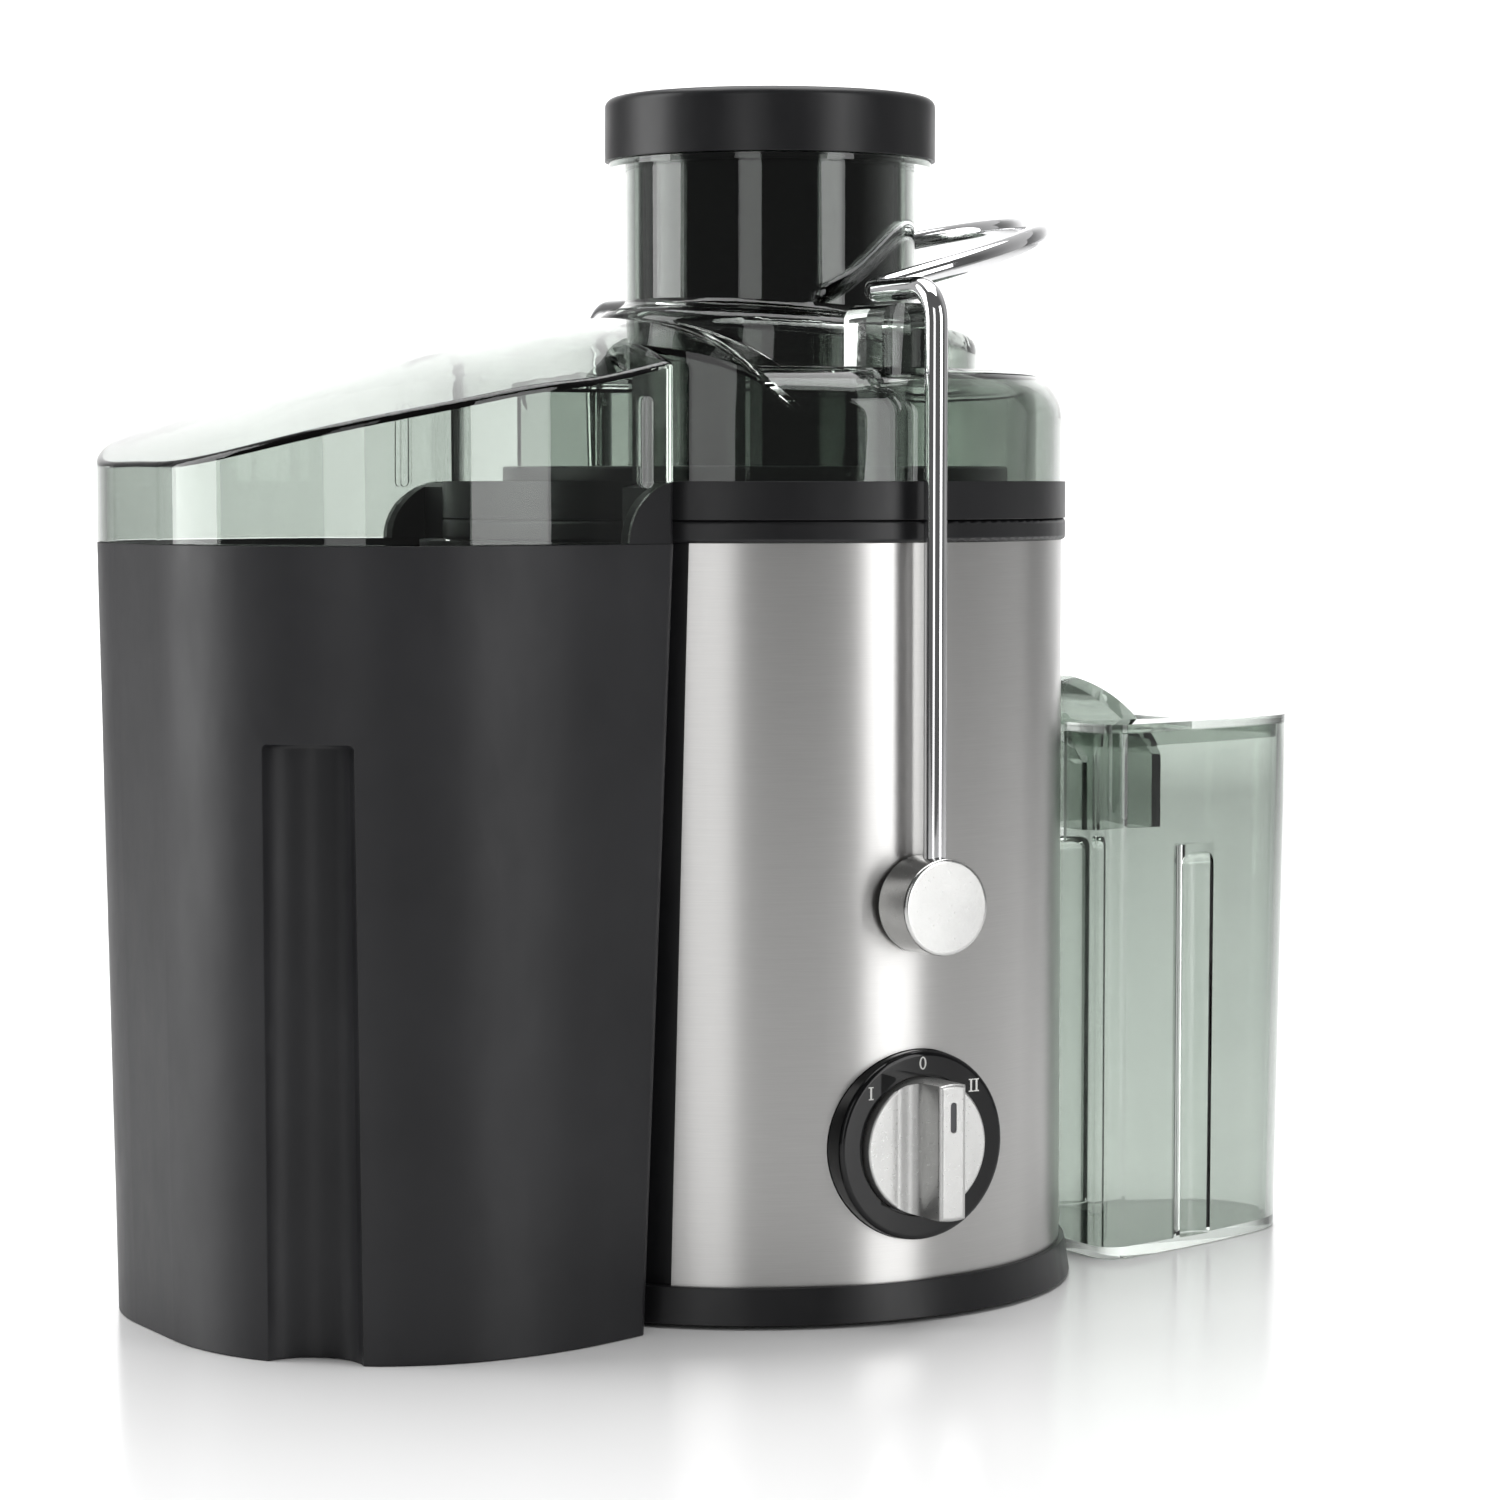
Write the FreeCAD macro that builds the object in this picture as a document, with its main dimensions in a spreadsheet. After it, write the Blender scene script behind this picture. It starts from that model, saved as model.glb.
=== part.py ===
"""Centrifugal juicer: motor base, lid with feed tube, pulp bin and juice jug.

Every piece is drawn about the motor's axis, with the table at height 0, the jug towards +X and
the dial towards -Y.  Each finished piece is then placed so that the origin is the middle of the
whole machine's footprint.  Sizes are millimetres.
"""

import FreeCAD
import Part

import math
import os
import re

import Sketcher
from FreeCAD import Placement, Rotation, Vector

SIZES = {
    "axis_x": (2.75, "motor axis from the middle of the machine, along its length"),
    "axis_y": (1.75, "motor axis from the middle of the machine, front to back"),
    "play": (0.3, "room between pieces that move on each other"),
    # motor base
    "foot_radius": (8.0, "rubber foot"),
    "foot_height": (3.0, "rubber foot"),
    "foot_circle": (64.0, "feet, from the axis"),
    "ring_low": (1.0, "underside of the base ring"),
    "ring_high": (10.6, "top of the base ring"),
    "ring_foot_radius": (88.0, "base ring at its underside"),
    "ring_top_radius": (86.5, "base ring at its top"),
    "ring_bore": (80.0, "inside of the base ring"),
    "cover_thick": (3.0, "bottom cover"),
    "screw_circle": (76.0, "housing screws, from the axis"),
    "screw_radius": (2.0, "housing screw shank"),
    "screw_top": (19.0, "end of the housing screws"),
    "screw_head": (4.0, "housing screw head"),
    "post_radius": (5.8, "screw posts in the housing"),
    "post_top": (21.0, "screw posts in the housing"),
    "housing_radius": (84.0, "outside of the inner housing"),
    "housing_wall": (2.5, "inner housing"),
    "housing_top": (204.0, "top of the housing and of the steel"),
    "deck_low": (144.0, "deck between motor and bowl"),
    "deck_high": (147.0, "deck between motor and bowl"),
    "seal_radius": (12.0, "shaft seal and its hole"),
    "wrap_radius": (85.0, "outside of the steel wrap"),
    "wrap_gap_low": (60.1, "half the gap in the wrap, at its foot"),
    "wrap_gap_high": (63.7, "half the gap in the wrap, at its top"),
    "collar_radius": (86.0, "top collar and bowl rim"),
    "collar_bore": (80.2, "top collar, round the bowl"),
    "collar_high": (210.0, "top of the top collar"),
    # dial
    "dial_height": (46.5, "dial centre"),
    "bezel_radius": (25.0, "dial bezel"),
    "bezel_back": (79.5, "bezel's back, from the axis"),
    "bezel_thick": (8.5, "bezel, back to front"),
    "bezel_recess": (1.5, "shallow seat of the knob"),
    "bezel_edge": (1.4, "rounding of the bezel's edge"),
    "dial_bore": (5.0, "hole for the spindle"),
    "knob_radius": (18.0, "knob disc"),
    "knob_thick": (3.8, "knob disc"),
    "grip_width": (8.8, "grip bar"),
    "grip_flare": (5.0, "curve where the grip meets the disc"),
    "grip_high": (16.2, "grip bar, from the knob's back"),
    "pointer_half": (0.9, "pointer's recess in the grip, half width"),
    "pointer_low": (5.2, "pointer's recess, from the knob's middle"),
    "pointer_high": (13.2, "pointer's recess, from the knob's middle"),
    "pointer_deep": (0.4, "pointer's recess"),
    "spindle_radius": (3.0, "knob spindle"),
    "spindle_length": (24.0, "knob spindle"),
    "switch_width": (28.0, "rotary switch"),
    "switch_depth": (17.0, "rotary switch"),
    # locking arm
    "pivot_height": (110.0, "axis of the locking arm"),
    "cap_radius": (12.7, "pivot cap"),
    "cap_inner": (86.5, "pivot cap's inner face, from the axis"),
    "cap_thick": (13.0, "pivot cap"),
    "cap_edge": (1.0, "rounding of the cap's edge"),
    "boss_radius": (11.0, "pivot boss"),
    "boss_inner": (78.0, "pivot boss, from the axis"),
    "pin_radius": (4.0, "pivot pin"),
    "pin_inner": (76.0, "pivot pin, from the axis"),
    "pin_length": (20.6, "pivot pin"),
    "rod_radius": (3.0, "locking arm's wire"),
    "rod_out": (93.5, "upright wires, from the axis"),
    "rod_foot": (115.0, "end of the wire inside the cap"),
    "rod_top": (270.0, "wire across the lid"),
    "rod_bend": (9.0, "bend at the top of each upright"),
    "hoop_radius": (58.0, "hoop of the wire"),
    "hoop_bend": (8.0, "bend from the crossing wire into the hoop"),
    "hoop_reach": (27.0, "hoop's centre from the crossing wires"),
    "hoop_tilt": (15.0, "slope of the hoop, degrees"),
    # motor
    "stator_bore": (26.0, "stator"),
    "stator_radius": (46.5, "stator"),
    "stator_low": (62.0, "stator and armature"),
    "stator_high": (102.0, "stator and armature"),
    "winding_inner": (27.5, "windings"),
    "winding_outer": (39.0, "windings"),
    "winding_long": (11.0, "each winding, low to high"),
    "bolt_radius": (2.5, "bolts through brackets and stator"),
    "bolt_circle": (42.0, "bolts, from the axis"),
    "bracket_low": (30.0, "lower bracket"),
    "bracket_high": (118.0, "upper bracket"),
    "bracket_thick": (8.0, "brackets"),
    "bearing_radius": (11.0, "bearings"),
    "mount_radius": (6.0, "rubber mounts under the deck"),
    # bowl
    "bowl_radius": (80.0, "bowl, outside"),
    "bowl_wall": (2.5, "bowl"),
    "bowl_floor": (148.0, "bowl's underside"),
    "rim_high": (220.0, "top of the bowl's rim"),
    "rim_bore": (81.0, "inside of the rim"),
    "column_radius": (16.0, "column round the coupling"),
    "column_high": (170.0, "column round the coupling"),
    "outlet_half": (15.5, "juice outlet, half width"),
    "outlet_low": (150.5, "juice outlet"),
    "outlet_high": (166.0, "juice outlet"),
    "tail_start": (-62.0, "where the rim turns down to the bin"),
    "tail_end": (-79.0, "end of the rim's tail"),
    "tail_width": (6.0, "rim's tail"),
    # spinner
    "shaft_radius": (4.0, "motor shaft"),
    "shaft_low": (10.0, "motor shaft"),
    "shaft_high": (172.0, "motor shaft"),
    "coupling_radius": (10.0, "drive coupling"),
    "coupling_low": (151.0, "drive coupling"),
    "coupling_high": (176.0, "drive coupling"),
    "hub_radius": (46.0, "basket hub and grater"),
    "hub_high": (178.0, "top of the basket hub"),
    "grater_thick": (2.2, "grater disc"),
    "mesh_top_radius": (66.0, "filter basket at its rim"),
    "mesh_top": (220.0, "filter basket"),
    "mesh_wall": (0.9, "filter basket"),
    "basket_rim_radius": (70.0, "rim of the basket"),
    "basket_rim_top": (224.0, "rim of the basket"),
    # lid
    "lid_radius": (85.0, "drum of the lid"),
    "lid_wall": (2.5, "lid"),
    "lid_top": (250.0, "flat top of the drum"),
    "lid_shoulder": (13.0, "rounding of the drum"),
    "lid_gap": (0.3, "lid above the bin"),
    "skirt_radius": (78.0, "inner skirt of the lid"),
    "skirt_low": (216.5, "inner skirt of the lid"),
    "tube_x": (5.0, "feed tube from the motor axis"),
    "tube_radius": (40.0, "feed tube, outside"),
    "tube_low": (187.0, "feed tube's lower end"),
    "tube_high": (307.5, "feed tube's upper end"),
    "tube_lip": (44.5, "lip of the feed tube"),
    "lip_thick": (1.6, "lip of the feed tube"),
    "neck_x": (10.0, "neck round the tube"),
    "neck_radius": (53.0, "neck round the tube"),
    "neck_left": (267.5, "neck's height towards the bin"),
    "neck_right": (260.0, "neck's height towards the jug"),
    "neck_edge": (5.0, "rounding of the neck"),
    "crest_end": (224.0, "hood's height at the bin's end"),
    "crest_middle": (253.7, "hood's height half way"),
    "crest_neck": (264.3, "hood's height at the neck"),
    "lug_inner": (61.0, "latch lugs, from the axis"),
    "lug_outer": (80.0, "latch lugs, from the axis"),
    "lug_half": (8.0, "latch lugs, half width"),
    "lug_top": (266.3, "latch lugs"),
    "lug_edge": (4.5, "rounding over the latch lugs"),
    "hood_edge": (2.0, "rounding along the hood's edge"),
    "flare": (6.0, "curve from the neck up to the tube"),
    "flare_bite": (0.5, "depth of that curve's upper end in the tube"),
    "rib_half": (1.7, "upright rib on the hood's side, half width"),
    "rib_x": (-73.6, "upright rib on the hood's side"),
    "rib_low": (218.2, "upright rib on the hood's side"),
    "rib_high": (241.5, "upright rib on the hood's side"),
    "rib_inner": (69.0, "upright rib's inner face, from the middle"),
    "rib_outer": (73.2, "upright rib's outer face, from the middle"),
    # pusher
    "pusher_radius": (36.4, "pusher"),
    "pusher_wall": (2.2, "pusher"),
    "pusher_low": (187.5, "pusher"),
    "pusher_cap_radius": (45.6, "pusher's cap"),
    "pusher_cap_low": (307.8, "pusher's cap"),
    "pusher_cap_high": (325.0, "pusher's cap"),
    "pusher_cap_edge": (2.5, "rounding of the pusher's cap"),
    "spigot_low": (299.0, "plug of the cap in the pusher"),
    # pulp bin
    "bin_end": (-179.5, "bin's far end at its foot"),
    "bin_corner_y": (76.5, "bin's far corners at its foot"),
    "bin_corner": (63.5, "rounding of the far corners"),
    "bin_belly_x": (-99.5, "widest place of the bin"),
    "bin_belly_y": (76.5, "widest place of the bin at its foot"),
    "bin_belly": (90.0, "rounding at the widest place"),
    "bin_near_x": (-71.0, "bin's edge beside the base, at its foot"),
    "bin_near_y": (67.0, "bin's edge beside the base, at its foot"),
    "bin_near_lean": (7.5, "bin's edge beside the base leans in by"),
    "bin_draft": (3.5, "bin's far end leans out by"),
    "bin_side_draft": (1.5, "bin's sides lean out by"),
    "bin_clear": (90.0, "hollow of the bin round the base"),
    "bin_wall": (2.5, "pulp bin"),
    "groove_foot": (14.5, "finger groove's radius at its foot"),
    "groove_head": (12.8, "finger groove's radius at its top"),
    "groove_x": (-164.7, "finger groove's centre"),
    "groove_y": (62.35, "finger groove's centre"),
    "groove_top": (155.0, "finger groove"),
    "groove_edge": (1.5, "rounding of the groove's top"),
    # spout
    "spout_half": (16.0, "juice spout, half width"),
    "spout_start": (80.5, "juice spout, at the bowl"),
    "spout_wall": (2.2, "juice spout"),
    "spout_roof": (165.0, "juice spout, top at the base"),
    "spout_end": (126.0, "juice spout, outer end"),
    "spout_low": (120.0, "juice spout, mouth"),
    "spout_floor": (148.2, "juice spout, underside of the channel"),
    "spout_chute": (101.0, "juice spout, inner side of the downward part"),
    # jug
    "jug_left": (91.0, "jug beside the base"),
    "jug_half": (40.5, "jug's half width"),
    "jug_right": (174.5, "jug's far end at its foot"),
    "jug_draft": (3.0, "jug's far end leans out by"),
    "jug_nose": (25.0, "jug's far end radius"),
    "jug_corner": (7.0, "jug's near corners"),
    "jug_wall": (2.2, "jug"),
    "jug_floor": (3.0, "jug"),
    "jug_high": (149.0, "jug's rim"),
    "jug_lid_top": (151.6, "jug's lid"),
    "notch_half": (19.0, "notch for the spout, half width"),
    "notch_low": (117.0, "notch for the spout"),
    "notch_end": (129.0, "notch in the jug's lid"),
    "jug_groove_radius": (7.4, "jug's finger groove"),
    "jug_groove_x": (128.0, "jug's finger groove"),
    "jug_groove_y": (36.2, "jug's finger groove"),
    "jug_groove_top": (114.0, "jug's finger groove"),
}

ROOF_REACH = 88.0  # the roof's sections run this far to each side
ROOF_FLOOR = 120.0  # and down to this height
ROOF_SIDE_X = -70.0  # here the roof falls most from its crest to its sides
ROOF_SIDE_FALL = 12.0
ROOF_END_FALL = 1.2

FRONT = Rotation(Vector(1, 0, 0), 90)
REAR = Rotation(Vector(1, 0, 0), -90)
UPRIGHT = Rotation()
SIDES = (("front", -1, FRONT), ("rear", 1, REAR))

doc = FreeCAD.newDocument("Juicer")
sheet = doc.addObject("Spreadsheet::Sheet", "Sizes")
for row, (alias, (amount, note)) in enumerate(SIZES.items(), start=1):
    sheet.set(f"A{row}", note)
    sheet.set(f"B{row}", str(amount))
    sheet.setAlias(f"B{row}", alias)
doc.recompute()

pieces = []


def cells(text):
    """The expression with each word pointed at its cell of the sheet."""
    return re.sub(r"[a-z]\w*", lambda word: "Sizes." + word.group(0), text)


def size(text):
    """The present value of an expression on the sheet's words."""
    return float(sheet.evalExpression(cells(text)))


def settle(thing, at=("0", "0", "0"), turn=UPRIGHT):
    """Put a thing at three expressions, turned."""
    thing.Placement = Placement(Vector(*(size(text) for text in at)), turn)
    for axis, text in zip("xyz", at):
        if text != "0":
            thing.setExpression(f"Placement.Base.{axis}", cells(text))
    return thing


def piece(thing, label, at=("0", "0", "0"), turn=UPRIGHT):
    """Name a finished piece and place it in the machine's frame."""
    x, y, z = at
    settle(thing, (f"axis_x + {x}", f"axis_y + {y}", z), turn)
    thing.Label = label
    pieces.append(thing)
    return thing


def origin_plane(body, role):
    return next(item for item in body.Origin.OriginFeatures if item.Role == role)


def outline(body, role, corners):
    """A sketch on one of the body's own planes, each corner held by two expressions."""
    sketch = body.newObject("Sketcher::SketchObject", body.Name + "Outline")
    sketch.AttachmentSupport = (origin_plane(body, role), [""])
    sketch.MapMode = "FlatFace"
    spots = [Vector(size(x), size(y), 0) for x, y in corners]
    count = len(spots)
    for index, spot in enumerate(spots):
        sketch.addGeometry(Part.LineSegment(spot, spots[(index + 1) % count]))
    for index in range(count):
        sketch.addConstraint(Sketcher.Constraint("Coincident", index, 2, (index + 1) % count, 1))
    for index, corner in enumerate(corners):
        for kind, text in zip(("DistanceX", "DistanceY"), corner):
            number = sketch.addConstraint(Sketcher.Constraint(kind, -1, 1, index, 1, size(text)))
            sketch.setExpression(f"Constraints[{number}]", cells(text))
    return sketch


def turned(name, corners):
    """A body turned about its own upright axis from corners (radius, height)."""
    body = doc.addObject("PartDesign::Body", name)
    sketch = outline(body, "XZ_Plane", corners)
    turning = body.newObject("PartDesign::Revolution", name + "Turn")
    turning.Profile = sketch
    turning.ReferenceAxis = (sketch, ["V_Axis"])
    turning.Angle = 360
    return body


def ring(name, inner, outer, low, high):
    return turned(name, [(inner, low), (outer, low), (outer, high), (inner, high)])


def disc(name, outer, low, high):
    return ring(name, "0", outer, low, high)


def rounded(body, radius, spots):
    """Round the body's circular edges that lie at the (radius, height) spots."""
    doc.recompute()
    base = body.Tip
    wanted = [(size(reach), size(height)) for reach, height in spots]
    names = []
    for number, edge in enumerate(base.Shape.Edges, start=1):
        if not isinstance(edge.Curve, Part.Circle):
            continue
        here = (edge.Curve.Radius, edge.Curve.Center.z)
        if any(math.dist(here, spot) < 0.01 for spot in wanted):
            names.append(f"Edge{number}")
    fillet = body.newObject("PartDesign::Fillet", body.Name + "Round")
    fillet.Base = (base, names)
    fillet.setExpression("Radius", cells(radius))
    return body


def cylinder(name, radius, height, at, turn=UPRIGHT):
    item = doc.addObject("Part::Cylinder", name)
    item.setExpression("Radius", cells(radius))
    item.setExpression("Height", cells(height))
    return settle(item, at, turn)


def block(name, length, width, height, at):
    """A box whose length is along X, width along Y and height along Z, from its low corner."""
    item = doc.addObject("Part::Box", name)
    for prop, text in (("Length", length), ("Width", width), ("Height", height)):
        item.setExpression(prop, cells(text))
    return settle(item, at)


def less(name, base, tools):
    """The base with every tool taken away."""
    tool = tools[0]
    if len(tools) > 1:
        tool = doc.addObject("Part::MultiFuse", name + "Tools")
        tool.Shapes = tools
    cut = doc.addObject("Part::Cut", name)
    cut.Base = base
    cut.Tool = tool
    return cut


def joined(name, items):
    fusion = doc.addObject("Part::MultiFuse", name)
    fusion.Shapes = items
    return fusion


def group(name, items):
    """Separate solids that share one node."""
    compound = doc.addObject("Part::Compound", name)
    compound.Links = items
    return compound


def around(count, radius, start=0.0):
    """Expressions for places evenly round the motor axis."""
    for index in range(count):
        angle = math.radians(start + 360.0 * index / count)
        yield f"{radius} * {math.cos(angle):.6f}", f"{radius} * {math.sin(angle):.6f}"


def shaped(name, shape):
    """A piece whose shape comes from the Part functions below."""
    feature = doc.addObject("Part::Feature", name)
    feature.Shape = shape
    return feature


def round_corners(corners, height):
    """A closed flat wire through corners (x, y, radius), each corner an arc."""
    spots = [Vector(x, y, height) for x, y, _ in corners]
    arcs = []
    for index, (_, _, radius) in enumerate(corners):
        here = spots[index]
        back = (spots[index - 1] - here).normalize()
        onward = (spots[(index + 1) % len(spots)] - here).normalize()
        half = back.getAngle(onward) / 2
        reach = radius / math.tan(half)
        inward = (back + onward).normalize()
        centre = here + inward * (radius / math.sin(half))
        arcs.append((here + back * reach, centre - inward * radius, here + onward * reach))
    edges = []
    for index, (start, middle, end) in enumerate(arcs):
        edges.append(Part.Arc(start, middle, end).toShape())
        edges.append(Part.LineSegment(end, arcs[(index + 1) % len(arcs)][0]).toShape())
    return Part.Wire(edges)


def prism(wire, height):
    return Part.Face(wire).extrude(Vector(0, 0, height))


def upright_cylinder(radius, low, high, x=0.0, y=0.0):
    return Part.makeCylinder(radius, high - low, Vector(x, y, low))


def across(profile, half):
    """A profile of (x, z) corners drawn across the machine, from -half to half."""
    spots = [Vector(x, -half, z) for x, z in profile]
    return Part.Face(Part.makePolygon(spots + spots[:1])).extrude(Vector(0, 2 * half, 0))


# ---------------------------------------------------------------- motor base

def make_base():
    ring_body = turned("BaseRing", [
        ("ring_bore", "ring_low"), ("ring_foot_radius", "ring_low"),
        ("ring_top_radius", "ring_high"), ("ring_bore", "ring_high"),
    ])
    piece(rounded(ring_body, "play", [("ring_top_radius", "ring_high")]), "base_ring")

    cover_top = "foot_height + cover_thick"
    cover = turned("Cover", [
        ("0", "foot_height"), ("ring_bore", "foot_height"), ("ring_bore", "ring_high"),
        ("ring_bore - cover_thick", "ring_high"), ("ring_bore - cover_thick", cover_top),
        ("0", cover_top),
    ])
    holes = [
        cylinder(f"CoverHole{index}", "screw_radius", "ring_high", (x, y, "0"))
        for index, (x, y) in enumerate(around(4, "screw_circle"))
    ]
    piece(less("BottomCover", cover, holes), "bottom_cover")

    feet = [
        cylinder(f"Foot{index}", "foot_radius", "foot_height", (x, y, "0"))
        for index, (x, y) in enumerate(around(4, "foot_circle", 45.0))
    ]
    piece(group("Feet", feet), "rubber_feet")

    screws = []
    for index, (x, y) in enumerate(around(4, "screw_circle")):
        shank = cylinder(f"Shank{index}", "screw_radius", "screw_top - ring_low", (x, y, "ring_low"))
        head = cylinder(f"Head{index}", "screw_head", "foot_height - ring_low", (x, y, "ring_low"))
        screws.append(joined(f"Screw{index}", [shank, head]))
    piece(group("Screws", screws), "housing_screws")


def side_openings(name):
    """Tools for the holes that go through the housing and the steel."""
    tools = [
        cylinder(name + "DialHole", "bezel_radius + 0.2", "20", ("0", "-70", "dial_height"), FRONT),
        cylinder(name + "CordHole", "7", "20", ("20", "70", "24"), REAR),
        block(name + "Outlet", "30", "2 * spout_half + 1", "outlet_high - deck_high + 2",
              ("65", "-spout_half - 0.5", "deck_high + 0.1")),
    ]
    for side, sign, turn in SIDES:
        tools.append(cylinder(f"{name}{side}Pivot", "boss_radius + 0.2", "20",
                              ("0", f"{sign * 70}", "pivot_height"), turn))
    return tools


def make_housing():
    inner = "housing_radius - housing_wall"
    shell = turned("HousingShell", [
        (inner, "ring_high"), ("housing_radius", "ring_high"), ("housing_radius", "housing_top"),
        (inner, "housing_top"), (inner, "deck_high"), ("seal_radius", "deck_high"),
        ("seal_radius", "deck_low"), (inner, "deck_low"),
    ])
    posts = []
    holes = []
    for index, (x, y) in enumerate(around(4, "screw_circle")):
        posts.append(cylinder(f"Post{index}", "post_radius", "post_top - ring_high",
                              (x, y, "ring_high")))
        holes.append(cylinder(f"PostHole{index}", "screw_radius", "screw_top", (x, y, "0")))
    solid = joined("HousingSolid", [shell] + posts)
    piece(less("Housing", solid, side_openings("Housing") + holes), "motor_housing")

    wrap = ring("Wrap", "housing_radius", "wrap_radius", "ring_high", "housing_top")
    gap = doc.addObject("PartDesign::Body", "WrapGap")
    sketch = outline(gap, "YZ_Plane", [
        ("-wrap_gap_low", "ring_low"), ("wrap_gap_low", "ring_low"),
        ("wrap_gap_high", "housing_top + 1"), ("-wrap_gap_high", "housing_top + 1"),
    ])
    pad = gap.newObject("PartDesign::Pad", "WrapGapPad")
    pad.Profile = sketch
    pad.setExpression("Length", cells("wrap_radius + 5"))
    pad.Reversed = True
    piece(less("SteelWrap", wrap, side_openings("Wrap") + [gap]), "steel_wrap")

    collar = ring("Collar", "collar_bore", "collar_radius", "housing_top", "collar_high")
    piece(rounded(collar, "1.2", [("collar_radius", "housing_top"), ("collar_radius", "collar_high")]),
          "top_collar")

    gland = turned("Gland", [
        ("3.5", "0"), ("10", "0"), ("10", "2"), ("6.8", "2"), ("6.8", "12"), ("3.5", "12"),
    ])
    piece(gland, "cord_inlet", ("20", "82.6 + 9", "24"), FRONT)


def knob_shape():
    """A disc with a grip bar across it, flared where the bar meets the disc."""
    thick, high = size("knob_thick"), size("grip_high")
    half, flare = size("grip_width") / 2, size("grip_flare")
    reach = size("knob_radius")
    bow = flare * (1 - math.cos(math.radians(45)))

    def side(sign):
        foot = Vector(sign * (half + flare), -reach, thick)
        middle = Vector(sign * (half + bow), -reach, thick + bow)
        return foot, middle, Vector(sign * half, -reach, thick + flare)

    left, right = side(-1), side(1)
    brow_left, brow_right = Vector(-half + 0.4, -reach, high), Vector(half - 0.4, -reach, high)
    root_left, root_right = Vector(left[0].x, -reach, 1), Vector(right[0].x, -reach, 1)
    section = Part.Wire([
        Part.Arc(*left).toShape(),
        Part.makePolygon([left[2], brow_left, brow_right, right[2]]),
        Part.Arc(*right[::-1]).toShape(),
        Part.makePolygon([right[0], root_right, root_left, left[0]]),
    ])
    bar = Part.Face(section).extrude(Vector(0, 2 * reach, 0))
    bar = bar.common(Part.makeCylinder(reach, high + 1))
    brow = [edge for edge in bar.Edges if edge.BoundBox.ZMin > high - 0.01]
    bar = bar.makeFillet(1.2, brow)
    plate = Part.makeCylinder(reach, thick)
    rim = [edge for edge in plate.Edges if edge.BoundBox.ZMin > thick - 0.01]
    knob = plate.makeFillet(0.6, rim).fuse(bar)
    width, low, top = size("pointer_half"), size("pointer_low"), size("pointer_high")
    deck = high - size("pointer_deep")
    slot = Part.makeBox(2 * width, top - low - 2 * width, 2, Vector(-width, low + width, deck))
    for y in (low + width, top - width):
        slot = slot.fuse(upright_cylinder(width, deck, deck + 2, 0.0, y))
    return knob.cut(slot)


def make_dial():
    bezel = turned("Bezel", [
        ("dial_bore", "0"), ("bezel_radius", "0"), ("bezel_radius", "bezel_thick"),
        ("knob_radius + 0.6", "bezel_thick"), ("knob_radius + 0.6", "bezel_thick - bezel_recess"),
        ("dial_bore", "bezel_thick - bezel_recess"),
    ])
    rounded(bezel, "bezel_edge", [("bezel_radius", "bezel_thick")])
    piece(bezel, "dial_bezel", ("0", "-bezel_back", "dial_height"), FRONT)

    face = "bezel_back + bezel_thick - bezel_recess + play"
    knob = shaped("Knob", knob_shape())
    piece(knob, "dial_knob", ("0", f"-({face})", "dial_height"), FRONT)
    piece(disc("Spindle", "spindle_radius", "0", "spindle_length"), "knob_spindle",
          ("0", f"-({face}) + spindle_length", "dial_height"), FRONT)

    case = block("SwitchCase", "switch_width", "switch_depth", "switch_width",
                 ("-switch_width / 2", "-bezel_back + 0.4", "dial_height - switch_width / 2"))
    bore = cylinder("SwitchBore", "spindle_radius + play", "30", ("0", "-55", "dial_height"), FRONT)
    piece(less("Switch", case, [bore]), "rotary_switch")


def make_pivots():
    bosses = []
    pins = []
    for side, sign, turn in SIDES:
        start = f"{sign} * boss_inner"
        boss = cylinder(side + "BossBody", "boss_radius", "cap_inner - play - boss_inner",
                        ("0", start, "pivot_height"), turn)
        bore = cylinder(side + "BossBore", "pin_radius", "30", ("0", f"{sign * 70}", "pivot_height"),
                        turn)
        bosses.append(less(side + "Boss", boss, [bore]))
        pins.append(cylinder(side + "Pin", "pin_radius", "pin_length",
                             ("0", f"{sign} * pin_inner", "pivot_height"), turn))
        cap = turned(side + "CapBody", [
            ("pin_radius + 0.15", "0"), ("cap_radius", "0"), ("cap_radius", "cap_thick"),
            ("0", "cap_thick"), ("0", "cap_thick - 2.5"), ("pin_radius + 0.15", "cap_thick - 2.5"),
        ])
        rounded(cap, "cap_edge", [("cap_radius", "cap_thick")])
        settle(cap, ("0", f"{sign} * cap_inner", "pivot_height"), turn)
        socket = cylinder(side + "Socket", "rod_radius", "20", ("0", f"{sign} * rod_out", "rod_foot"))
        piece(less(side + "Cap", cap, [socket]), side + "_pivot_cap")
    piece(group("Bosses", bosses), "pivot_bosses")
    piece(group("Pins", pins), "pivot_pins")


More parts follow.
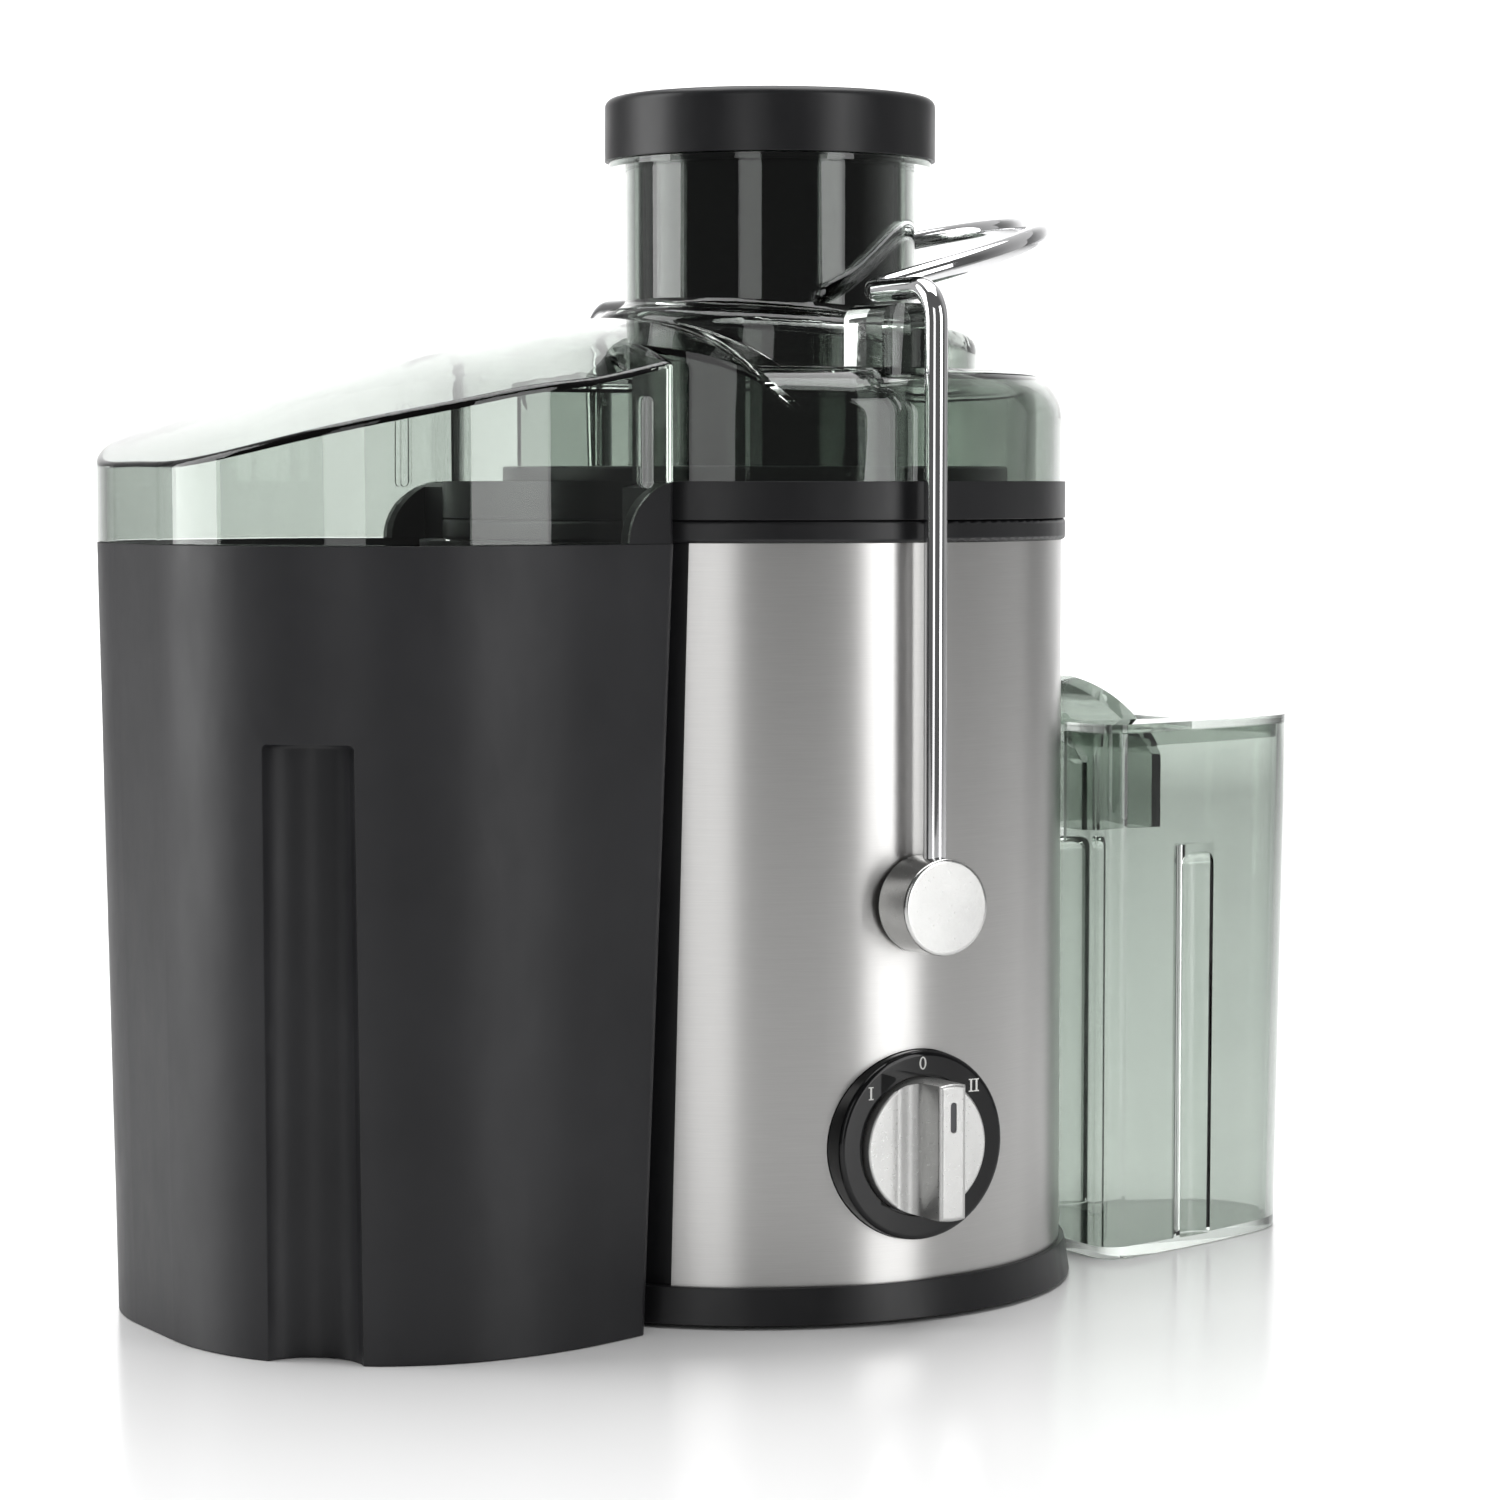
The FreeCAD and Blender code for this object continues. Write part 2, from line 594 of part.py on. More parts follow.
def make_bail():
    """The chrome wire: two uprights, two bends each, and a sloping hoop round the tube."""
    out, top, foot = size("rod_out"), size("rod_top"), size("rod_foot")
    bend, small, radius = size("rod_bend"), size("hoop_bend"), size("hoop_radius")
    tilt = math.radians(size("hoop_tilt"))
    slope = Vector(math.cos(tilt), 0, math.sin(tilt))
    corner = math.cos(math.radians(45))
    centre = Vector(0, 0, top) + slope * size("hoop_reach")

    def half(sign):
        """Corners and bend middles from one foot to the start of the hoop."""
        inward = Vector(0, -sign, 0)
        turn_up = Vector(0, sign * (out - bend), top - bend)
        turn_in = Vector(0, sign * (radius + small), top) + slope * small
        return [
            Vector(0, sign * out, foot),
            Vector(0, sign * out, top - bend),
            turn_up + (Vector(0, sign, 0) + Vector(0, 0, 1)) * (bend * corner),
            Vector(0, sign * (out - bend), top),
            Vector(0, sign * (radius + small), top),
            turn_in + (inward - slope) * (small * corner),
            turn_in + inward * small,
            centre + Vector(0, sign * radius, 0),
        ]

    def run(spots):
        foot_end, bend_start, bend_mid, bend_end, cross, turn_mid, turn_end, hoop_start = spots
        return [
            Part.LineSegment(foot_end, bend_start).toShape(),
            Part.Arc(bend_start, bend_mid, bend_end).toShape(),
            Part.LineSegment(bend_end, cross).toShape(),
            Part.Arc(cross, turn_mid, turn_end).toShape(),
            Part.LineSegment(turn_end, hoop_start).toShape(),
        ]

    near, far = half(-1), half(1)
    hoop = Part.Arc(near[-1], centre + slope * radius, far[-1]).toShape()
    path = Part.Wire(run(near) + [hoop] + run(far)[::-1])
    section = Part.Wire(Part.makeCircle(size("rod_radius"), near[0], Vector(0, 0, 1)))
    piece(shaped("BailRod", path.makePipeShell([section], True, False)), "bail_rod")


# ---------------------------------------------------------------- drive

def make_motor():
    deep = size("bracket_thick")
    bolt_spots = list(around(2, "bolt_circle"))
    core = ring("StatorRing", "stator_bore", "stator_radius", "stator_low", "stator_high")
    holes = [cylinder(f"StatorHole{index}", "bolt_radius", "stator_high", (x, y, "0"))
             for index, (x, y) in enumerate(bolt_spots)]
    piece(less("Stator", core, holes), "motor_stator")
    piece(group("Windings", [
        ring("WindingLow", "winding_inner", "winding_outer", "stator_low - winding_long",
             "stator_low"),
        ring("WindingHigh", "winding_inner", "winding_outer", "stator_high",
             "stator_high + winding_long"),
    ]), "stator_windings")
    for name, low in (("lower", "bracket_low"), ("upper", "bracket_high")):
        bar = block(name + "Bar", "96", "26", "bracket_thick", ("-48", "-13", low))
        hub = cylinder(name + "Hub", "bearing_radius + 4", "bracket_thick", ("0", "0", low))
        seat = cylinder(name + "Seat", "bearing_radius", "bracket_thick", ("0", "0", low))
        bolts = [cylinder(f"{name}BoltHole{index}", "bolt_radius", "bracket_thick", (x, y, low))
                 for index, (x, y) in enumerate(bolt_spots)]
        solid = joined(name + "Solid", [bar, hub])
        piece(less(name + "Bracket", solid, [seat] + bolts), name + "_bracket")
        piece(ring(name + "Bearing", "shaft_radius", "bearing_radius", f"{low} + 0.5",
                   f"{low} + {deep - 0.5}"), name + "_bearing")
    stand = "bracket_high + bracket_thick"
    mounts = [
        cylinder(f"Mount{index}", "mount_radius", f"deck_low - ({stand})", (x, y, stand))
        for index, (x, y) in enumerate((("-40", "-8"), ("-40", "8"), ("40", "-8"), ("40", "8")))
    ]
    piece(group("Mounts", mounts), "motor_mounts")
    stays = [cylinder(f"StayBolt{index}", "bolt_radius", f"{stand} - bracket_low",
                      (x, y, "bracket_low"))
             for index, (x, y) in enumerate(bolt_spots)]
    piece(group("StayBolts", stays), "stay_bolts")


def make_drive():
    seal = turned("Seal", [
        ("shaft_radius + play", "deck_low"), ("seal_radius", "deck_low"),
        ("seal_radius", "deck_high"), ("seal_radius - 4", "deck_high + 2.5"),
        ("shaft_radius + play", "deck_high + 2.5"),
    ])
    piece(seal, "shaft_seal")
    piece(disc("Shaft", "shaft_radius", "shaft_low", "shaft_high"), "motor_shaft")
    piece(ring("Armature", "shaft_radius", "stator_bore - 0.8", "stator_low", "stator_high"),
          "armature")
    piece(ring("Commutator", "shaft_radius", "11", "40", "50"), "commutator")

    hub = ring("FanHub", "shaft_radius", "9", "12", "24")
    blade = Part.makeBox(28, 1.6, 12, Vector(8, -0.8, 12))
    fins = [shaped(f"Fin{index}", blade.rotated(Vector(), Vector(0, 0, 1), 40.0 * index))
            for index in range(9)]
    piece(joined("Fan", [hub] + fins), "cooling_fan")

    brushes = []
    holders = []
    for sign in (-1, 1):
        brushes.append(block(f"Brush{sign}", "14", "6", "6",
                             ("11.2" if sign > 0 else "-25.2", "-3", "42")))
        case = block(f"HolderCase{sign}", "20", "11", "9",
                     ("18" if sign > 0 else "-38", "-5.5", "40.5"))
        slot = block(f"HolderSlot{sign}", "10", "6", "6",
                     ("16" if sign > 0 else "-26", "-3", "42"))
        holders.append(less(f"Holder{sign}", case, [slot]))
    piece(group("Brushes", brushes), "carbon_brushes")
    piece(group("Holders", holders), "brush_holders")
    case = block("SafetyBody", "20", "10", "26", ("0", "0", "0"))
    piece(case, "safety_switch", ("-10", "64", "84"))

    coupling = turned("Coupling", [
        ("shaft_radius", "coupling_low"), ("coupling_radius", "coupling_low"),
        ("coupling_radius", "coupling_high - 1"), ("coupling_radius - 1", "coupling_high"),
        ("0", "coupling_high"), ("0", "shaft_high"), ("shaft_radius", "shaft_high"),
    ])
    piece(coupling, "drive_coupling")
    spigot = "column_radius - 3.2"
    piece(turned("Hub", [
        ("coupling_radius", "column_high - 10"), (spigot, "column_high - 10"),
        (spigot, "column_high + 3"), ("hub_radius", "column_high + 5"), ("hub_radius", "hub_high"),
        ("0", "hub_high"), ("0", "coupling_high + 0.2"), ("coupling_radius", "coupling_high + 0.2"),
    ]), "basket_hub")
    piece(turned("Grater", [
        ("0", "hub_high"), ("hub_radius - 1", "hub_high"),
        ("hub_radius - 1", "hub_high + grater_thick"), ("9", "hub_high + grater_thick"),
        ("6", "hub_high + grater_thick + 2"), ("0", "hub_high + grater_thick + 2"),
    ]), "grater_disc")
    piece(turned("Mesh", [
        ("hub_radius - mesh_wall", "hub_high"), ("hub_radius", "hub_high"),
        ("mesh_top_radius", "mesh_top"), ("mesh_top_radius - mesh_wall", "mesh_top"),
    ]), "filter_mesh")
    rim = ring("BasketRimBody", "mesh_top_radius - mesh_wall", "basket_rim_radius",
               "mesh_top", "basket_rim_top")
    piece(rounded(rim, "0.8", [("basket_rim_radius", "basket_rim_top")]), "basket_rim")


# ---------------------------------------------------------------- pulp bin

def bin_wire(height, inset=0.0):
    """The bin's outline, which leans outwards from foot to top."""
    lean = height / size("housing_top")
    end = size("bin_end") - lean * size("bin_draft")
    side = lean * size("bin_side_draft")
    near = size("bin_near_x") + lean * size("bin_near_lean")
    corners = [
        (end, size("bin_corner_y") + side, size("bin_corner")),
        (size("bin_belly_x"), size("bin_belly_y") + side, size("bin_belly")),
        (near, size("bin_near_y") + 2 * side, 3.0),
    ]
    both = corners + [(x, -y, radius) for x, y, radius in reversed(corners)]
    wire = round_corners(both, height)
    return wire.makeOffset2D(-inset) if inset else wire


def make_bin():
    top, wall = size("housing_top"), size("bin_wall")
    outer = Part.makeLoft([bin_wire(0.0), bin_wire(top)], True, True)
    outer = outer.cut(upright_cylinder(size("bin_clear"), -1, top + 1))
    inner = Part.makeLoft([bin_wire(wall, wall), bin_wire(top, wall)], True, True)
    mouth = prism(bin_wire(top, wall), 1.0)
    inner = inner.cut(upright_cylinder(size("bin_clear") + wall, -1, top + 1))
    mouth = mouth.cut(upright_cylinder(size("bin_clear") + wall, -1, top + 2))
    for sign in (-1, 1):
        foot = Vector(size("groove_x"), sign * size("groove_y"), 0)
        broad, slim, high = size("groove_foot"), size("groove_head"), size("groove_top")
        groove = Part.makeCone(broad, slim, high, foot)
        rim = [edge for edge in groove.Edges if abs(edge.CenterOfMass.z - high) < 0.01]
        outer = outer.cut(groove.makeFillet(size("groove_edge"), rim))
        inner = inner.cut(Part.makeCone(broad + wall, slim + wall, high + wall, foot))
    piece(shaped("PulpBin", outer.cut(inner).cut(mouth)), "pulp_bin")


# ---------------------------------------------------------------- bowl

def tail_zone(width, low):
    """Where the bowl's rim curves down to the bin: everything under a quarter ellipse."""
    start, end = size("tail_start"), size("tail_end")
    top, foot = size("rim_high"), size("housing_top")
    steps = 10
    curve = []
    for index in range(steps + 1):
        angle = math.pi / 2 * index / steps
        curve.append((start + (end - start) * math.sin(angle), foot + (top - foot) * math.cos(angle)))
    profile = curve + [(end, low), (start + 30, low), (start + 30, top)]
    return across(profile, width)


def make_bowl():
    inner = "bowl_radius - bowl_wall"
    column = "column_radius - 2"
    shell = turned("BowlShell", [
        (column, "bowl_floor"), ("bowl_radius", "bowl_floor"), ("bowl_radius", "collar_high"),
        ("collar_radius", "collar_high"), ("collar_radius", "rim_high"), ("rim_bore", "rim_high"),
        ("rim_bore", "collar_high + 2"), (inner, "collar_high"), (inner, "bowl_floor + bowl_wall"),
        ("column_radius", "bowl_floor + bowl_wall"), ("column_radius", "column_high"),
        (column, "column_high"),
    ])
    doc.recompute()
    top = size("rim_high")
    foot = size("housing_top") + size("lid_gap")
    ring_wall = prism(bin_wire(size("housing_top"), 0.2), 20.0).cut(
        prism(bin_wire(size("housing_top"), size("tail_width")), 20.0))
    tails = ring_wall.common(tail_zone(90.0, foot))
    tails = tails.cut(Part.makeBox(60, 84, 60, Vector(-100, -42, 190)))
    tails = tails.cut(upright_cylinder(size("rim_bore") + 2, 190, top + 1))
    tails = tails.cut(upright_cylinder(size("collar_radius") + 0.1, 190, size("collar_high")))
    outlet = Part.makeBox(24, 2 * size("outlet_half"), size("outlet_high") - size("outlet_low"),
                          Vector(66, -size("outlet_half"), size("outlet_low")))
    bowl = shell.Shape.fuse(tails).cut(outlet)
    piece(shaped("JuiceBowl", bowl.removeSplitter()), "juice_bowl")


def make_spout():
    """A covered channel from the bowl that bends down into the jug."""
    start, end, wall = size("spout_start"), size("spout_end"), size("spout_wall")
    roof, low, half = size("spout_roof"), size("spout_low"), size("spout_half")
    floor, chute = size("spout_floor"), size("spout_chute")

    def channel(inset, half_width):
        past = 1.0 if inset else 0.0
        left, foot = start - past, low - past
        spots = [Vector(x, -half_width, z) for x, z in (
            (left, roof - inset), (start + 15, roof - 0.6 - inset),
            (end - 8 - inset, roof - 13 - inset), (end - inset, roof - 24),
            (end - inset, foot), (chute + inset, foot), (chute + inset, floor - 9.2 + inset),
            (chute - 6, floor + inset), (left, floor + inset),
        )]
        bow = Part.BSplineCurve()
        bow.interpolate(spots[1:4])
        straight = Part.LineSegment(spots[0], spots[1]).toShape()
        rest = Part.makePolygon(spots[3:] + spots[:1])
        return Part.Face(Part.Wire([straight, bow.toShape(), rest])).extrude(
            Vector(0, 2 * half_width, 0))

    spout = channel(0.0, half).cut(channel(wall, half - wall))
    piece(shaped("JuiceSpout", spout), "juice_spout")


# ---------------------------------------------------------------- lid

def roof_solid(drop):
    """Everything under the hood's domed roof, lowered by the drop."""
    end, middle, neck = -184.0, -108.0, -44.0
    crest = Part.Arc(Vector(end, 0, size("crest_end")), Vector(middle, 0, size("crest_middle")),
                     Vector(neck, 0, size("crest_neck"))).toShape().Curve
    stations = []
    for x in (-188.0, -172.0, -150.0, -125.0, -100.0, -72.0, -46.0):
        height = crest.Center.z + math.sqrt(crest.Radius ** 2 - (x - crest.Center.x) ** 2)
        share = (x - end) / (ROOF_SIDE_X - end)
        fall = ROOF_END_FALL + (ROOF_SIDE_FALL - ROOF_END_FALL) * share
        stations.append((x, height, max(fall, 1.0)))
    stations += [(-25.0, 262.5, 24.0), (-5.0, 257.0, 34.0)]
    sections = []
    for x, height, fall in stations:
        brow = height - fall * (ROOF_REACH / -ROOF_SIDE_X) ** 2 - drop
        left, right = Vector(x, -ROOF_REACH, brow), Vector(x, ROOF_REACH, brow)
        low_left, low_right = Vector(x, -ROOF_REACH, ROOF_FLOOR), Vector(x, ROOF_REACH, ROOF_FLOOR)
        arc = Part.Arc(left, Vector(x, 0, height - drop), right).toShape()
        sections.append(Part.Wire([arc, Part.makePolygon([right, low_right, low_left, left])]))
    return Part.makeLoft(sections, True)


def lid_body(inset):
    """Solid form of drum, hood and neck, drawn inwards by the inset."""
    radius, top = size("lid_radius") - inset, size("lid_top") - inset
    floor = size("rim_high") if not inset else size("rim_high") - 5
    drum = upright_cylinder(radius, floor, top)
    shoulder = [edge for edge in drum.Edges if abs(edge.CenterOfMass.z - top) < 0.01]
    drum = drum.makeFillet(size("lid_shoulder") - inset, shoulder)
    seat = size("housing_top") + size("lid_gap") - (5 if inset else 0)
    plan = prism(bin_wire(size("housing_top"), inset), 90.0)
    plan.translate(Vector(0, 0, seat - size("housing_top")))
    plan = plan.fuse(upright_cylinder(radius, floor, 300))
    hood = roof_solid(inset).common(plan)
    if not inset:
        creases = [edge for edge in hood.Edges
                   if edge.BoundBox.ZMin > size("rim_high") and edge.BoundBox.XMax < -66]
        hood = hood.makeFillet(size("hood_edge"), creases)
    x, reach = size("neck_x"), size("neck_radius") - inset
    left, right = size("neck_left") - inset, size("neck_right") - inset
    neck = upright_cylinder(reach, 240, 280, x)
    rise = (left - right) / (2 * size("neck_radius"))
    slab = across([(x - 60, left + rise * (60 - size("neck_radius"))),
                   (x + 60, right - rise * (60 - size("neck_radius"))), (x + 60, 300), (x - 60, 300)], 60)
    neck = neck.cut(slab)
    brow = [edge for edge in neck.Edges if edge.BoundBox.ZMin > 255 and edge.Length > 100]
    neck = neck.makeFillet(size("neck_edge") - inset / 2, brow)
    return drum.fuse(hood).fuse(neck)


def tube_flare():
    """The curve that leads from the neck's sloping top up into the feed tube."""
    tube, bow, x = size("tube_radius") - size("flare_bite"), size("flare"), size("tube_x")
    left, right = size("neck_left"), size("neck_right")
    middle = (left + right) / 2
    bite = bow * (1 - math.cos(math.radians(45)))
    foot, inside = middle - 4, tube - 1
    start, end = Vector(tube + bow, 0, middle), Vector(tube, 0, middle + bow)
    corners = [end, Vector(inside, 0, end.z), Vector(inside, 0, foot),
               Vector(start.x, 0, foot), start]
    curve = Part.Arc(start, Vector(tube + bite, 0, middle + bite), end).toShape()
    face = Part.Face(Part.Wire([Part.makePolygon(corners), curve]))
    flare = face.revolve(Vector(), Vector(0, 0, 1), 360)
    flare.translate(Vector(x, 0, 0))
    slope = math.degrees(math.atan2(left - right, 2 * size("neck_radius")))
    flare.rotate(Vector(x, 0, middle), Vector(0, 1, 0), slope)
    return flare


def hood_rib(sign):
    """An upright rib with round ends through the hood's side."""
    half, x = size("rib_half"), size("rib_x")
    low, high = size("rib_low") + half, size("rib_high") - half
    inner, outer = size("rib_inner"), size("rib_outer")
    start = inner if sign > 0 else -outer
    rib = Part.makeBox(2 * half, outer - inner, high - low, Vector(x - half, start, low))
    ends = [Part.makeCylinder(half, outer - inner, Vector(x, start, z), Vector(0, 1, 0))
            for z in (low, high)]
    return rib.fuse(ends)


def make_lid():
    wall, x = size("lid_wall"), size("tube_x")
    tube, bore = size("tube_radius"), size("tube_radius") - size("lid_wall")
    low, high = size("tube_low"), size("tube_high")
    shell = lid_body(0.0).cut(lid_body(wall))
    shell = shell.cut(tail_zone(100.0, 190.0))
    shell = shell.cut(upright_cylinder(size("collar_radius"), 190, size("rim_high")))
    skirt_low, top = size("skirt_low"), size("lid_top") - wall / 2
    skirt = upright_cylinder(size("skirt_radius"), skirt_low, top).cut(
        upright_cylinder(size("skirt_radius") - 2, skirt_low - 1, top + 1))
    skirt = skirt.cut(Part.makeBox(60, 200, 80, Vector(-100, -100, 200)))
    lip = upright_cylinder(size("tube_lip"), high - size("lip_thick"), high, x)
    shell = shell.fuse([upright_cylinder(tube, low, high, x), lip, skirt])
    shell = shell.fuse([hood_rib(-1), hood_rib(1)])
    shell = shell.fuse(tube_flare())
    inner, outer, half = size("lug_inner"), size("lug_outer"), size("lug_half")
    for sign in (-1, 1):
        start = inner if sign > 0 else -outer
        lug = Part.makeBox(2 * half, outer - inner, size("lug_top") - size("lid_top") + wall,
                           Vector(-half, start, size("lid_top") - wall))
        over = [edge for edge in lug.Edges
                if edge.BoundBox.ZMin > size("lug_top") - 0.01 and edge.BoundBox.YLength > 5]
        shell = shell.fuse(lug.makeFillet(size("lug_edge"), over))
    shell = shell.cut(upright_cylinder(bore, low - 1, high + 1, x))
    piece(shaped("Lid", shell), "lid")


def make_pusher():
    outer, wall = "pusher_radius", "pusher_radius - pusher_wall"
    body = turned("Pusher", [
        ("0", "pusher_low"), (outer, "pusher_low"), (outer, "pusher_cap_low"),
        (wall, "pusher_cap_low"), (wall, "pusher_low + pusher_wall"), ("0", "pusher_low + pusher_wall"),
    ])
    rounded(body, "1.5", [(outer, "pusher_low")])
    piece(body, "pusher_body", ("tube_x", "0", "0"))
    plug = "pusher_radius - pusher_wall - 0.1"
    cap = turned("PusherCap", [
        (f"{plug} - 2", "spigot_low"), (plug, "spigot_low"), (plug, "pusher_cap_low"),
        ("pusher_cap_radius", "pusher_cap_low"), ("pusher_cap_radius", "pusher_cap_high"),
        ("0", "pusher_cap_high"), ("0", "pusher_cap_high - 3"), (f"{plug} - 2", "pusher_cap_high - 3"),
    ])
    rounded(cap, "pusher_cap_edge", [("pusher_cap_radius", "pusher_cap_high")])
    piece(cap, "pusher_cap", ("tube_x", "0", "0"))


# ---------------------------------------------------------------- jug

def jug_wire(height, inset=0.0):
    """Flat beside the base, sides that draw in, and a round far end."""
    lean = size("jug_draft") * height / size("jug_high")
    left, half, nose = size("jug_left"), size("jug_half"), size("jug_nose")
    right = size("jug_right") + lean
    centre = right - nose
    turn = math.radians(22.0)
    tangent = Vector(centre + nose * math.sin(turn), nose * math.cos(turn), height)
    corner = size("jug_corner")
    shoulder = Vector(left + corner, half, height)
    chord = tangent - shoulder
    bow = math.radians(5.5)
    middle = shoulder + chord * 0.5 + Vector(-chord.y, chord.x, 0).normalize() * (
        chord.Length / 2 * math.tan(bow / 2))

    def low(spot):
        return Vector(spot.x, -spot.y, spot.z)

    soft = Vector(left + corner * (1 - math.cos(math.radians(45))),
                  half - corner * (1 - math.sin(math.radians(45))), height)
    edge_low, edge_high = Vector(left, corner - half, height), Vector(left, half - corner, height)
    wire = Part.Wire([
        Part.LineSegment(edge_low, edge_high).toShape(),
        Part.Arc(edge_high, soft, shoulder).toShape(),
        Part.Arc(shoulder, middle, tangent).toShape(),
        Part.Arc(tangent, Vector(right, 0, height), low(tangent)).toShape(),
        Part.Arc(low(tangent), low(middle), low(shoulder)).toShape(),
        Part.Arc(low(shoulder), low(soft), edge_low).toShape(),
    ])
    return wire.makeOffset2D(-inset) if inset else wire


def make_jug():
    wall, floor, top = size("jug_wall"), size("jug_floor"), size("jug_high")
    outer = Part.makeLoft([jug_wire(0.0), jug_wire(top)], True, True)
    inner = Part.makeLoft([jug_wire(floor, wall), jug_wire(top + 1.0, wall)], True, True)
    for sign in (-1, 1):
        x, y = size("jug_groove_x"), sign * size("jug_groove_y")
        radius, high = size("jug_groove_radius"), size("jug_groove_top")
        groove = upright_cylinder(radius, floor, high, x, y)
        rim = [edge for edge in groove.Edges if abs(edge.CenterOfMass.z - high) < 0.01]
        outer = outer.cut(groove.makeFillet(4.0, rim))
        inner = inner.cut(upright_cylinder(radius + wall, -1, high + wall, x, y))
    notch = Part.makeBox(30, 2 * size("notch_half"), 60,
                         Vector(size("jug_left") - 15, -size("notch_half"), size("notch_low")))
    piece(shaped("JuiceJug", outer.cut(inner).cut(notch)), "juice_jug")

    plate = prism(jug_wire(top), size("jug_lid_top") - top - 0.2)
    plate.translate(Vector(0, 0, 0.2))
    lip = prism(jug_wire(top, wall + 0.4), 4.0).cut(prism(jug_wire(top, wall + 2.0), 4.0))
    lip.translate(Vector(0, 0, -3.8))
    slot = Part.makeBox(size("notch_end") - 80, 2 * size("notch_half"), 60,
                        Vector(80, -size("notch_half"), size("notch_low")))
    piece(shaped("JugLid", plate.fuse(lip).cut(slot)), "jug_lid")


def check_pieces():
    """Stop on any object that failed or any piece that isn't a sound closed shape."""
    doc.recompute()
    failed = [item.Name for item in doc.Objects
              if any(word in ("Invalid", "Error") for word in item.State)]
    unsound = [item.Label for item in pieces if item.Shape.isNull() or not item.Shape.isValid()]
    if failed or unsound:
        raise RuntimeError(f"failed objects {failed}, unsound pieces {unsound}")


def write_pieces():
    os.makedirs("parts", exist_ok=True)
    low = [1e9] * 3
    high = [-1e9] * 3
    for item in pieces:
        box = item.Shape.optimalBoundingBox()
        low = [min(a, b) for a, b in zip(low, (box.XMin, box.YMin, box.ZMin))]
        high = [max(a, b) for a, b in zip(high, (box.XMax, box.YMax, box.ZMax))]
        item.Shape.exportStep(f"parts/{item.Label}.step")
        print(f"{item.Label}: {len(item.Shape.Solids)} solid(s), {item.Shape.Volume / 1000:.1f} cm3")
    print("whole machine from", low, "to", high)


make_base()
make_housing()
make_dial()
make_pivots()
make_bail()
make_motor()
make_drive()
make_bin()
make_bowl()
make_spout()
make_lid()
make_pusher()
make_jug()
check_pieces()
write_pieces()
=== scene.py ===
import bmesh
import bpy
import math
from mathutils import Matrix, Vector


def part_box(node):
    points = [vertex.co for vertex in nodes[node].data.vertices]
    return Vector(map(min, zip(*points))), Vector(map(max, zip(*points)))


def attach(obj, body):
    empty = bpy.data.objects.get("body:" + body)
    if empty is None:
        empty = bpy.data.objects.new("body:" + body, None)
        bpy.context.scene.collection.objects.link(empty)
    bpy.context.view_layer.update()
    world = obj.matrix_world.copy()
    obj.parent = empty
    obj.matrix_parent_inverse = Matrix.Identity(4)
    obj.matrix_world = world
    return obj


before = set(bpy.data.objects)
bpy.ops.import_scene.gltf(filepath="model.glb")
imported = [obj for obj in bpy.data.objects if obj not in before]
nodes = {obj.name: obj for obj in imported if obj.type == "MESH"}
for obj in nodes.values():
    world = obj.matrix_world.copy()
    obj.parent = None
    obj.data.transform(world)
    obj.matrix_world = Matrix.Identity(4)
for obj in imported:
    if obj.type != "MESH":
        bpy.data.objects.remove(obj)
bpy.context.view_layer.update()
print("frame loaded:", len(nodes), "CAD nodes")

mm = 0.001


class Wire:  # a node's output that takes part in sums
    def __init__(self, shade, socket):
        self.shade, self.socket = shade, socket

    def calc(self, operation, first, second=0.0):
        return self.shade.node("ShaderNodeMath", {"operation": operation}, {0: first, 1: second})

    def __add__(self, other):
        return self.calc("ADD", self, other)

    def __rsub__(self, other):
        return self.calc("SUBTRACT", other, self)

    def __mul__(self, other):
        return self.calc("MULTIPLY", self, other)


class Shade:  # the nodes of a material or world, and the shader that they feed
    def __init__(self, owner, shader, **fixed):
        owner.use_nodes = True
        self.owner, self.tree = owner, owner.node_tree
        self.shader = self.tree.nodes[shader]
        for socket, amount in fixed.items():
            self.shader.inputs[socket.replace("_", " ")].default_value = amount

    def node(self, kind, settings=None, inputs=None, out=0):
        made = self.tree.nodes.new(kind)
        for name, choice in (settings or {}).items():
            setattr(made, name, choice)
        for key, source in (inputs or {}).items():
            self.join(source, made.inputs[key])
        return Wire(self, made.outputs[out])

    def join(self, source, socket):
        if isinstance(source, Wire):
            self.tree.links.new(source.socket, socket)
        else:
            socket.default_value = source

    def feed(self, socket, source):
        self.join(source, self.shader.inputs[socket])

    def place(self, stretch=(1.0, 1.0, 1.0)):
        spot = self.node("ShaderNodeTexCoord", out="Object")
        return self.node("ShaderNodeVectorMath", {"operation": "MULTIPLY"}, {0: spot, 1: stretch})

    def noise(self, scale, detail=3.0, rough=0.5, stretch=(1.0, 1.0, 1.0)):
        return self.node("ShaderNodeTexNoise", {"noise_dimensions": "3D"},
                         {"Vector": self.place(stretch), "Scale": scale, "Detail": detail,
                          "Roughness": rough})

    def ramp(self, factor, low, high, fromTone=0.0, toTone=1.0):
        return self.node("ShaderNodeMapRange", {"clamp": True},
                         {"Value": factor, "From Min": low, "From Max": high,
                          "To Min": fromTone, "To Max": toTone})

    def blend(self, factor, first, second):  # inputs 6 and 7 and output 2 carry the colours
        made = self.node("ShaderNodeMix", {"data_type": "RGBA"}, {0: factor}, out=2)
        node = made.socket.node
        for key, tone in ((6, first), (7, second)):
            self.join(tone if isinstance(tone, Wire) else (*tone, 1.0), node.inputs[key])
        return made

    def bump(self, height, strength, distance=0.1 * mm, edge=0.0):
        inputs = {"Height": height, "Strength": strength, "Distance": distance}
        if edge:
            inputs["Normal"] = self.node("ShaderNodeBevel", {"samples": 4}, {"Radius": edge})
        self.feed("Normal", self.node("ShaderNodeBump", {}, inputs))


